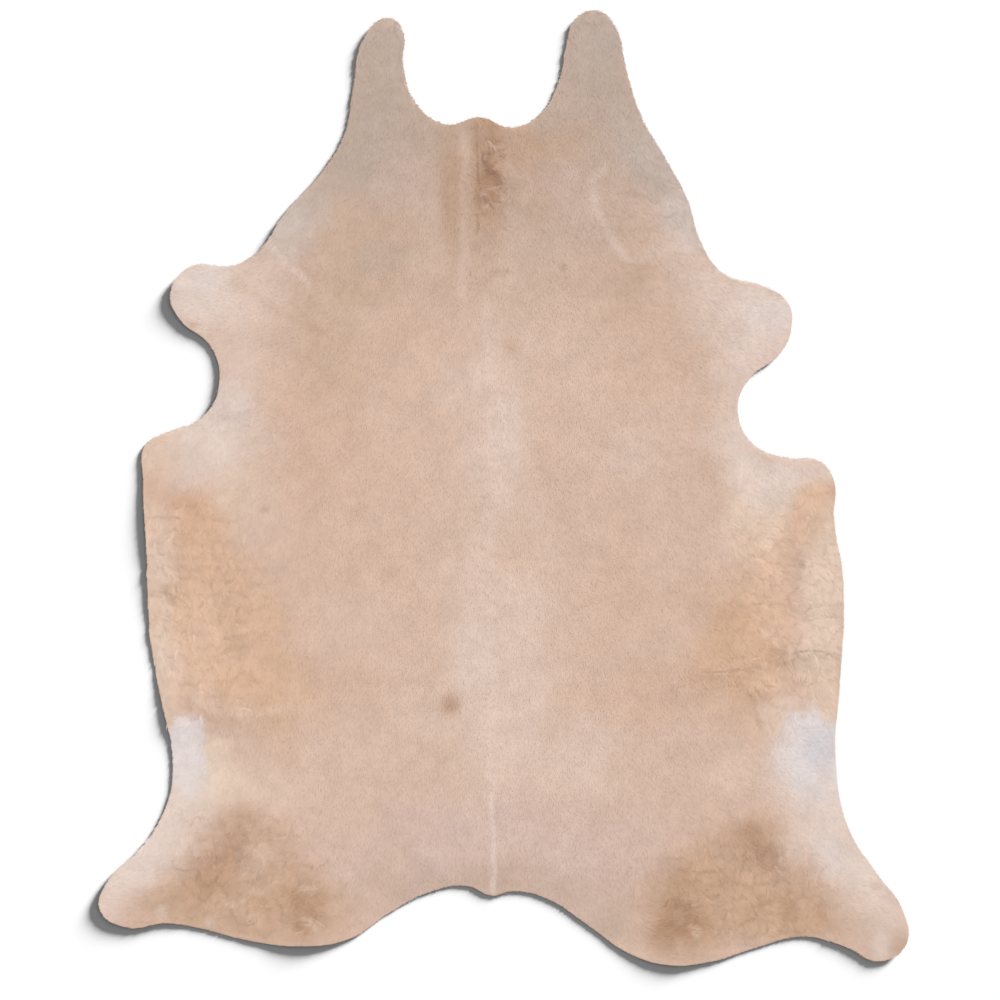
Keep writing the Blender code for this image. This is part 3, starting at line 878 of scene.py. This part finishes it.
def grain_material():
    """The hair side of tanned skin between the roots: fine leather grain, dull, and painted lighter than the
    coat against the shade that falls between the roots.
    """
    material, tree = new_material("leather hair side")
    tint = add_node(tree, "ShaderNodeAttribute", {"attribute_name": "coat_tint"})
    place = add_node(tree, "ShaderNodeTexCoord")
    grain_mm = 1.2  # real grain is about 0.5 mm: drawn coarser, so that it shows between the roots
    grain = add_node(tree, "ShaderNodeTexVoronoi", {"Scale": 1000 / grain_mm},
                     {"Vector": place.outputs["Object"]})
    # Painted light: the grain lifts the coat's tint by 4 to 12 percent, which offsets the shade between the
    # roots
    shade = add_node(tree, "ShaderNodeMapRange", {"From Max": 0.6, "To Min": 1.04, "To Max": 1.12},
                     {"Value": grain.outputs["Distance"]})
    colour = add_node(tree, "ShaderNodeVectorMath", {"operation": "SCALE"},
                      {"Vector": tint.outputs["Color"], "Scale": shade.outputs["Result"]})
    bump = add_node(tree, "ShaderNodeBump", {"Strength": 0.4, "Distance": 0.0003},
                    {"Height": grain.outputs["Distance"]})
    shader = add_node(tree, "ShaderNodeBsdfPrincipled", {"Roughness": 0.75, "Specular IOR Level": 0.3},
                      {"Base Color": colour.outputs["Vector"], "Normal": bump.outputs["Normal"]})
    add_node(tree, "ShaderNodeOutputMaterial", links={"Surface": shader.outputs["BSDF"]})
    return material


def suede_material(colour):
    """Buffed suede of the flesh side: a napped, blotchy, quite dull surface with faint veins."""
    material, tree = new_material("buffed suede")
    place = add_node(tree, "ShaderNodeTexCoord")
    here = {"Vector": place.outputs["Object"]}
    blotch_mm, vein_mm, sway_mm = 90, 130, 60
    nap_mm = 1.8  # real nap is about 0.5 mm: drawn coarser, so that it shows
    sway_metres = 0.05
    blotch, nap, sway = (
        add_node(tree, "ShaderNodeTexNoise", {
            "Scale": 1000 / size, "Detail": detail, "Roughness": roughness}, here)
        for size, detail, roughness in ((blotch_mm, 4.0, 0.5), (nap_mm, 3.0, 0.7), (sway_mm, 2.0, 0.5)))
    swayed = add_node(tree, "ShaderNodeVectorMath", {"operation": "SCALE", "Scale": sway_metres},
                      {"Vector": sway.outputs["Color"]})
    vein_place = add_node(tree, "ShaderNodeVectorMath", {"operation": "ADD"},
                          {0: place.outputs["Object"], 1: swayed.outputs["Vector"]})
    vein = add_node(tree, "ShaderNodeTexVoronoi", {"feature": "DISTANCE_TO_EDGE", "Scale": 1000 / vein_mm},
                    {"Vector": vein_place.outputs["Vector"]})
    tone = None
    for pattern, low, high, dark, light in (
            (blotch.outputs["Fac"], 0.3, 0.7, 0.88, 1.08), (nap.outputs["Fac"], 0.3, 0.7, 0.90, 1.06),
            (vein.outputs["Distance"], 0.0, 0.03, 0.90, 1.0)):
        shade = add_node(tree, "ShaderNodeMapRange", {
            "From Min": low, "From Max": high, "To Min": dark, "To Max": light}, {"Value": pattern})
        if tone is not None:
            shade = add_node(tree, "ShaderNodeMath", {"operation": "MULTIPLY"},
                             {0: tone.outputs[0], 1: shade.outputs[0]})
        tone = shade
    tinted = add_node(tree, "ShaderNodeVectorMath", {"operation": "SCALE", "Vector": tuple(colour)},
                      {"Scale": tone.outputs["Value"]})
    bump = add_node(tree, "ShaderNodeBump", {"Strength": 0.5, "Distance": 0.0005},
                    {"Height": nap.outputs["Fac"]})
    shader = add_node(tree, "ShaderNodeBsdfPrincipled", {
        "Roughness": 0.95, "Specular IOR Level": 0.15, "Sheen Weight": 0.3, "Sheen Roughness": 0.6,
    }, {"Base Color": tinted.outputs["Vector"], "Normal": bump.outputs["Normal"]})
    add_node(tree, "ShaderNodeOutputMaterial", links={"Surface": shader.outputs["BSDF"]})
    return material


class COWHIDE_OT_cut_skin(bpy.types.Operator):
    """Cut the tanned skin to its outline and lay it in its creases"""

    bl_idname = "cowhide.cut_skin"
    bl_label = "Cut Skin"

    def execute(self, context):
        settings = context.scene.cowhide
        base = ground()
        mesh = bpy.data.meshes.new("skin")
        points = np.column_stack((base.plan, base.heights))
        mesh.from_pydata(points.tolist(), [], base.faces.tolist())
        skin = bpy.data.objects.new("skin", mesh)
        context.collection.objects.link(skin)
        mesh.materials.append(grain_material())
        mesh.materials.append(suede_material(settings.suede_colour))

        cut_angle = math.radians(50)
        body = skin.modifiers.new("skin thickness", "SOLIDIFY")
        body.thickness = settings.skin_thickness
        body.offset = 1.0
        body.material_offset_rim = 1
        rim = skin.modifiers.new("knife edge", "BEVEL")
        rim.width = 0.0004
        rim.segments = 1
        rim.limit_method = "ANGLE"
        rim.angle_limit = cut_angle
        final = bpy.data.meshes.new_from_object(skin.evaluated_get(context.evaluated_depsgraph_get()))
        skin.modifiers.clear()
        skin.data = final
        final.name = "skin"

        corners = np.empty(len(final.vertices) * 3)
        final.vertices.foreach_get("co", corners)
        plan = corners.reshape(-1, 3)[:, :2]
        colour_attribute(final, "coat_tint", coat_tint(plan))
        plan_map(final, plan)
        for face in final.polygons:
            face.material_index = 0 if face.normal.z > 0.5 else 1
        final.shade_smooth()
        final.set_sharp_from_angle(angle=cut_angle)
        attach(skin, "root")
        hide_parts("hide")
        return {"FINISHED"}


def lock_mesh(name, roots, ups, headings, lengths, widths, lifts, rng):
    """Short locks of hair, each bent at its widest place and pointed at its root and its tip."""
    twist, sway = 0.15, 0.10  # how far locks roll, in radians, and bend aside, as a share of their length
    part_way, part_lift, part_bend = 0.45, 0.75, 0.35  # the widest place's shares of length, lift and bend
    count = len(roots)
    ahead = np.stack((np.cos(headings), np.sin(headings), np.zeros(count)), 1)
    ahead -= ups * np.sum(ahead * ups, 1)[:, None]
    ahead /= np.linalg.norm(ahead, axis=1)[:, None]
    side = np.cross(ups, ahead)
    long, wide, lift = lengths[:, None], widths[:, None], lifts[:, None]
    roll = rng.normal(0, twist, count)[:, None]
    blade = side * np.cos(roll) + ups * np.sin(roll)
    bend = rng.normal(0, sway, count)[:, None] * long * side
    sunk = 0.0002
    root = roots - sunk * ups
    shoulder = roots + part_way * long * ahead + part_lift * lift * ups + part_bend * bend
    tip = roots + long * ahead + lift * ups + bend
    points = np.stack((root, shoulder + 0.5 * wide * blade, shoulder - 0.5 * wide * blade, tip), 1)
    mesh = bpy.data.meshes.new(name)
    mesh.vertices.add(count * 4)
    mesh.vertices.foreach_set("co", points.reshape(-1).astype(np.float32))
    corners = np.arange(count)[:, None] * 4 + (0, 2, 1, 2, 3, 1)
    mesh.loops.add(count * 6)
    mesh.loops.foreach_set("vertex_index", corners.reshape(-1).astype(np.int32))
    mesh.polygons.add(count * 2)
    mesh.polygons.foreach_set("loop_start", np.arange(0, count * 6, 3, dtype=np.int32))
    mesh.update(calc_edges=True)
    mesh.validate()
    mesh.shade_smooth()
    facing = np.cross(ahead, blade)
    soft = SKIN_SHARE * ups + (1 - SKIN_SHARE) * facing
    soft /= np.linalg.norm(soft, axis=1)[:, None]
    mesh.normals_split_custom_set_from_vertices(np.repeat(soft, 4, axis=0).tolist())
    return mesh


def strand_attribute(mesh, widths, rng):
    """How far across its lock each point lies, in metres from a random start, so that single hairs show."""
    across = np.array((0.0, 0.5, -0.5, 0.0)) * widths[:, None] + rng.uniform(0, 10, len(widths))[:, None]
    layer = mesh.attributes.new("strand", "FLOAT", "POINT")
    layer.data.foreach_set("value", across.ravel().astype(np.float32))


def dress_locks(mesh, roots, tones):
    """The tint of the coat at each root, with light painted down at the root against the shade between the
    locks, times each lock's tone.
    """
    # Painted light: the root is lighter than the rest of the lock, to offset the shade that falls in the gaps
    # between the locks
    lock_painted_light = np.array((1.06, 1.0, 1.0, 0.99))  # root, both sides of the bend, tip
    tint = coat_tint(roots[:, :2])[:, None] * lock_painted_light[None, :, None] * tones[:, None, None]
    colour_attribute(mesh, "coat_tint", np.clip(tint.reshape(-1, 3), 0, 1))
    plan = np.empty(len(mesh.vertices) * 3)
    mesh.vertices.foreach_get("co", plan)
    plan_map(mesh, plan.reshape(-1, 3)[:, :2])


def trimmed_lengths(base, roots, headings, lengths, overhang):
    """Shortens each lock so that its tip lies no further out than the overhang past the rim."""
    tips = roots[:, :2] + lengths[:, None] * np.stack((np.cos(headings), np.sin(headings)), 1)
    shortened = lengths.copy()
    reach = lengths.max() * 1.5
    for index, (root, tip) in enumerate(zip(roots[:, :2], tips)):
        if base.rim_tree.find((root[0], root[1], 0.0))[2] > reach:
            continue
        at_tip = base.rim_distance(tip)
        if at_tip < -overhang:
            at_root = max(base.rim_distance(root), 0.0)
            share = (at_root + overhang) / (at_root - at_tip)
            shortened[index] *= max(share, LEAST_LENGTH)
    return shortened


def add_locks(context, name, roots, ups, headings, lengths, widths, lifts, tones, rng):
    """One piece of hair: its locks' mesh, their single hairs and tints, and its place in the row."""
    mesh = lock_mesh(name, roots, ups, headings, lengths, widths, lifts, rng)
    strand_attribute(mesh, widths, rng)
    dress_locks(mesh, roots, tones)
    mesh.materials.append(bpy.data.materials.get("cattle hair") or hair_material())
    coat = bpy.data.objects.new(name, mesh)
    context.collection.objects.link(coat)
    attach(coat, "root")


class COWHIDE_OT_grow_coat(bpy.types.Operator):
    """Grow the short lying coat over the skin, in four joined pieces"""

    bl_idname = "cowhide.grow_coat"
    bl_label = "Grow Coat"

    def execute(self, context):
        settings = context.scene.cowhide
        base = ground()
        rng = np.random.default_rng(SEED)
        density = settings.locks_per_square_metre * 1.0
        roots, ups = self.scatter(base, density, settings.skin_thickness, rng)
        plan = roots[:, :2]
        curl = tufting(plan)
        headings = hair_heading(plan) + rng.normal(0, STRAY, len(plan)) * (1 + 2 * curl)
        offset, chance = tuft_middles(plan, settings.tuft_size, 45)
        flow = np.stack((np.cos(headings), np.sin(headings)), 1)
        ahead = np.sum(offset * flow, 1) / (settings.tuft_size / 2)
        aside = (flow[:, 0] * offset[:, 1] - flow[:, 1] * offset[:, 0]) / (settings.tuft_size / 2)
        headings += curl * (TUFT_TURN * (chance[:, 0] - 0.5) - TUFT_CLOSING * aside)
        streak = along_hair(plan, STREAK_RUN, STREAK_BREADTH, 41)
        locky = along_hair(plan, CURL_RUN, CURL_BREADTH, 42)
        mottle = sum(soft_noise(plan, size, seed) for size, seed in ((0.042, 43), (0.020, 44), (0.011, 45)))
        lengths = settings.hair_length * rng.uniform(0.75, 1.2, len(plan)) * (1 + 0.25 * curl)
        lengths = trimmed_lengths(base, roots, headings, lengths, COAT_OVERHANG)
        widths = settings.lock_width * rng.uniform(0.7, 1.25, len(plan))
        lifts = settings.hair_lift * (
            1 + STREAK_LIFT * streak + curl * (TUFT_LIFT * chance[:, 1] + TUFT_LIFT * ahead))
        lifts = np.maximum(lifts * rng.uniform(0.8, 1.2, len(plan)), LEAST_LIFT * settings.hair_lift)
        tones = COAT_TONE + STREAK_TONE * streak + MOTTLE_TONE * mottle
        tones += rng.normal(0, CHANCE_TONE, len(plan))
        # Painted light and shade on each tuft: lighter towards its raised downstream end, darker towards its
        # back
        tones += curl * (CURL_TONE * locky + TUFT_TONE * (chance[:, 1] - 0.5) + CREST_LIGHT_AND_SHADE * ahead)
        left = plan[:, 0] < SPINE
        fore = plan[:, 1] > float(np.median(plan[:, 1]))
        for name, mine in (("coat_left_shoulder", left & fore), ("coat_right_shoulder", ~left & fore),
                           ("coat_left_haunch", left & ~fore), ("coat_right_haunch", ~left & ~fore)):
            locks = (values[mine] for values in (roots, ups, headings, lengths, widths, lifts, tones))
            add_locks(context, name, *locks, rng)
        return {"FINISHED"}

    @staticmethod
    def scatter(base, density, thickness, rng):
        """Roots spread evenly at random over the skin's top, and the way up at each."""
        points = np.column_stack((base.plan, base.heights + thickness))
        a, b, c = (points[base.faces[:, corner]] for corner in range(3))
        across = np.cross(b - a, c - a)
        area = np.linalg.norm(across, axis=1) / 2
        wanted = area * density
        count = (wanted + rng.random(len(wanted))).astype(int)
        face = np.repeat(np.arange(len(count)), count)
        u, v = rng.random((2, len(face)))
        over = u + v > 1
        u[over], v[over] = 1 - u[over], 1 - v[over]
        roots = a[face] + u[:, None] * (b - a)[face] + v[:, None] * (c - a)[face]
        ups = (across / (2 * area)[:, None])[face]
        return roots, ups


class COWHIDE_OT_grow_rim(bpy.types.Operator):
    """Grow the hair that rolls over the trimmed edge"""

    bl_idname = "cowhide.grow_rim"
    bl_label = "Grow Rim Hair"

    def execute(self, context):
        settings = context.scene.cowhide
        base = ground()
        rng = np.random.default_rng(SEED + 1)
        ends = np.roll(base.outline, -1, 0)
        gaps = np.linalg.norm(ends - base.outline, axis=1)
        travelled = np.concatenate(([0], np.cumsum(gaps)))
        stations = np.arange(0, travelled[-1], settings.rim_lock_spacing)
        segment = np.clip(np.searchsorted(travelled, stations, side="right") - 1, 0, len(gaps) - 1)
        share = ((stations - travelled[segment]) / gaps[segment])[:, None]
        edge = base.outline[segment] * (1 - share) + ends[segment] * share
        outward = base.outward[segment]
        plan = edge - outward * rng.uniform(*RIM_ROOTS, len(edge))[:, None]
        heights = np.array([base.height(point) for point in plan]) + settings.skin_thickness
        roots = np.column_stack((plan, heights))
        lying = hair_heading(plan)
        flow = np.stack((np.cos(lying), np.sin(lying)), 1)
        aim = flow + RIM_LEAN * outward + rng.normal(0, RIM_STRAY, outward.shape)
        headings = np.arctan2(aim[:, 1], aim[:, 0])
        lengths = RIM_LENGTH * rng.uniform(0.7, 1.3, len(plan))
        lengths = trimmed_lengths(base, roots, headings, lengths, RIM_OVERHANG)
        widths = RIM_WIDTH * rng.uniform(0.7, 1.3, len(plan))
        lifts = rng.uniform(*RIM_LIFTS, len(plan))
        tones = 1.0 + rng.normal(0, 0.04, len(plan))
        ups = np.tile((0.0, 0.0, 1.0), (len(plan), 1))
        add_locks(context, "rim_hair", roots, ups, headings, lengths, widths, lifts, tones, rng)
        return {"FINISHED"}


def wisp_track(points, steps=40):
    """A smooth line through a wisp's points, the way it runs at each place, and its length."""
    points = np.array(points)
    gone = np.concatenate(([0], np.cumsum(np.linalg.norm(np.diff(points, axis=0), axis=1))))
    share = gone / gone[-1]
    fit = np.polynomial.polynomial.polyfit(share, points, min(3, len(points) - 1))
    places = np.linspace(0, 1, steps)
    track = np.polynomial.polynomial.polyval(places, fit).T
    run = np.gradient(track, axis=0)
    return track, np.arctan2(run[:, 1], run[:, 0]), gone[-1]


class COWHIDE_OT_lay_wisps(bpy.types.Operator):
    """Lay curled wisps of longer hair over the neck, the flanks and the haunches"""

    bl_idname = "cowhide.lay_wisps"
    bl_label = "Lay Wisps"

    def execute(self, context):
        settings = context.scene.cowhide
        base = ground()
        rng = np.random.default_rng(SEED + 2)
        plan, headings, tones = [], [], []
        for wisp in WISPS + self.chance_wisps(base, rng):
            track, runs, length = wisp_track(wisp.points)
            count = int(settings.wisp_fullness * length * wisp.width)
            place = rng.integers(0, len(track), count)
            taper = np.sqrt(np.sin(np.pi * (place + 0.5) / len(track)))
            aside = rng.uniform(-0.5, 0.5, count) * wisp.width * taper
            side = np.stack((-np.sin(runs[place]), np.cos(runs[place])), 1)
            plan.append(track[place] + aside[:, None] * side)
            headings.append(runs[place] + rng.normal(0, 0.10, count))
            tones.append(wisp.tone * (1 + rng.normal(0, 0.015, count)))
        plan, headings, tones = np.vstack(plan), np.concatenate(headings), np.concatenate(tones)
        kept = inside(plan, base.outline)
        plan, headings, tones = plan[kept], headings[kept], tones[kept]
        heights = np.array([base.height(point) for point in plan]) + settings.skin_thickness
        roots = np.column_stack((plan, heights + 0.5 * settings.hair_lift))
        lengths = WISP_LENGTH * rng.uniform(0.7, 1.2, len(plan))
        lengths = trimmed_lengths(base, roots, headings, lengths, COAT_OVERHANG)
        widths = WISP_WIDTH * rng.uniform(0.7, 1.2, len(plan))
        lifts = settings.hair_lift * rng.uniform(0.7, 1.4, len(plan))
        ups = np.tile((0.0, 0.0, 1.0), (len(plan), 1))
        add_locks(context, "coat_wisps", roots, ups, headings, lengths, widths, lifts, tones, rng)
        return {"FINISHED"}

    @staticmethod
    def chance_wisps(base, rng):
        """Small curved wisps wherever the coat is curly, some painted lighter than the coat as highlights on
        the curls and some darker as the shade under them.
        """
        low, high = base.outline.min(0), base.outline.max(0)
        tries = 30 * CHANCE_WISPS
        starts = rng.uniform(low, high, (tries, 2))
        curly = (tufting(starts) > 0.45 + 0.5 * rng.random(len(starts))) & inside(starts, base.outline)
        starts = starts[curly][:CHANCE_WISPS]
        ways = hair_heading(starts) + rng.uniform(-CHANCE_STRAY, CHANCE_STRAY, len(starts))
        wisps = []
        for start, way in zip(starts, ways):
            length, bend = rng.uniform(*CHANCE_LENGTHS), rng.uniform(-CHANCE_CURL, CHANCE_CURL)
            turns = way + bend * np.array((0.0, 0.4, 0.8))
            steps = length / 3 * np.stack((np.cos(turns), np.sin(turns)), 1)
            points = np.vstack((start, start + np.cumsum(steps, axis=0)))
            tone = rng.choice(CHANCE_CURL_LIGHT_AND_SHADE)
            wisps.append(Wisp(points, rng.uniform(*CHANCE_WIDTHS), tone))
        return wisps


class COWHIDE_OT_declare_sheet(bpy.types.Operator):
    """Work out the extent and the area of the skin's outline; nothing is kept of them"""

    bl_idname = "cowhide.declare_sheet"
    bl_label = "Declare Sheet"

    def execute(self, context):
        low, high = ground().outline.min(0), ground().outline.max(0)
        signed_area(ground().outline)
        return {"FINISHED"}


def add_sun(name, towards, elevation, softness, strength):
    """A sun that shines along a level direction and down from an elevation, both angles in degrees."""
    data = bpy.data.lights.new(name, "SUN")
    data.energy = strength
    data.angle = math.radians(softness)
    sun = bpy.data.objects.new(name, data)
    slope = math.tan(math.radians(elevation))
    sun.rotation_euler = (towards - Vector((0, 0, slope))).to_track_quat("-Z", "Y").to_euler()
    bpy.context.collection.objects.link(sun)
    return sun


class COWHIDE_OT_set_stage(bpy.types.Operator):
    """Set the pale floor, the soft lights and the camera straight above"""

    bl_idname = "cowhide.set_stage"
    bl_label = "Set Stage"

    def execute(self, context):
        settings = context.scene.cowhide_stage
        self.lay_floor(context)
        self.hang_lights(context, settings)
        self.place_camera(context, settings)
        context.scene.view_settings.view_transform = "Standard"
        return {"FINISHED"}

    @staticmethod
    def lay_floor(context):
        half, below = 40.0, 0.0002  # metres: out to the horizon at low views, and just under the skin
        corners = [(-half, -half, 0), (half, -half, 0), (half, half, 0), (-half, half, 0)]
        mesh = bpy.data.meshes.new("floor")
        mesh.from_pydata(corners, [], [(0, 1, 2, 3)])
        floor = bpy.data.objects.new("floor", mesh)
        floor.location.z = -below
        context.collection.objects.link(floor)
        material, tree = new_material("matt studio floor")
        shader = add_node(tree, "ShaderNodeBsdfPrincipled", {
            "Base Color": (*linear("#777777"), 1.0), "Roughness": 0.9, "Specular IOR Level": 0.0})
        add_node(tree, "ShaderNodeOutputMaterial", links={"Surface": shader.outputs["BSDF"]})
        mesh.materials.append(material)

    @staticmethod
    def hang_lights(context, settings):
        to_lower_left = Vector((-1.0, -1.0, 0.0)).normalized()
        add_sun("key", to_lower_left, elevation=55, softness=50, strength=settings.key_strength)
        floor_key = add_sun("floor key", to_lower_left, elevation=12, softness=14,
                            strength=settings.floor_key_strength)
        floor_only = bpy.data.collections.new("floor only")
        floor_only.objects.link(bpy.data.objects["floor"])
        floor_key.light_linking.receiver_collection = floor_only
        world = bpy.data.worlds.new("studio")
        world.use_nodes = True
        sky = world.node_tree.nodes["Background"]
        sky.inputs["Color"].default_value = (1.0, 1.0, 1.0, 1.0)
        sky.inputs["Strength"].default_value = settings.sky_strength
        context.scene.world = world

    @staticmethod
    def place_camera(context, settings):
        data = bpy.data.cameras.new("camera")
        data.sensor_width = 36.0
        data.lens = data.sensor_width * settings.camera_height / settings.frame_width
        camera = bpy.data.objects.new("camera", data)
        camera.location = (FRAME_MIDDLE[0], FRAME_MIDDLE[1], settings.camera_height)
        context.collection.objects.link(camera)
        context.scene.camera = camera


class COWHIDE_PT_panel(bpy.types.Panel):
    """The rug's pieces and stage, in the order that they are made"""

    bl_idname = "COWHIDE_PT_panel"
    bl_label = "Cowhide Rug"
    bl_space_type = "VIEW_3D"
    bl_region_type = "UI"
    bl_category = "Cowhide"

    def draw(self, context):
        layout = self.layout
        for settings in (context.scene.cowhide, context.scene.cowhide_stage):
            for name in settings.bl_rna.properties.keys():
                if name not in ("rna_type", "name"):
                    layout.prop(settings, name)
        for operator in OPERATORS:
            layout.operator(operator.bl_idname)


OPERATORS = (
    COWHIDE_OT_cut_skin,
    COWHIDE_OT_grow_coat,
    COWHIDE_OT_grow_rim,
    COWHIDE_OT_lay_wisps,
    COWHIDE_OT_declare_sheet,
    COWHIDE_OT_set_stage,
)
CLASSES = (HideSettings, StageSettings, *OPERATORS, COWHIDE_PT_panel)


def register():
    for item in CLASSES:
        bpy.utils.register_class(item)
    bpy.types.Scene.cowhide = bpy.props.PointerProperty(type=HideSettings)
    bpy.types.Scene.cowhide_stage = bpy.props.PointerProperty(type=StageSettings)


def unregister():
    del bpy.types.Scene.cowhide_stage
    del bpy.types.Scene.cowhide
    for item in reversed(CLASSES):
        bpy.utils.unregister_class(item)


def main():
    register()
    bpy.ops.cowhide.cut_skin()
    bpy.ops.cowhide.grow_coat()
    bpy.ops.cowhide.grow_rim()
    bpy.ops.cowhide.lay_wisps()
    bpy.ops.cowhide.declare_sheet()
    bpy.ops.cowhide.set_stage()


if __name__ == "__main__":
    main()
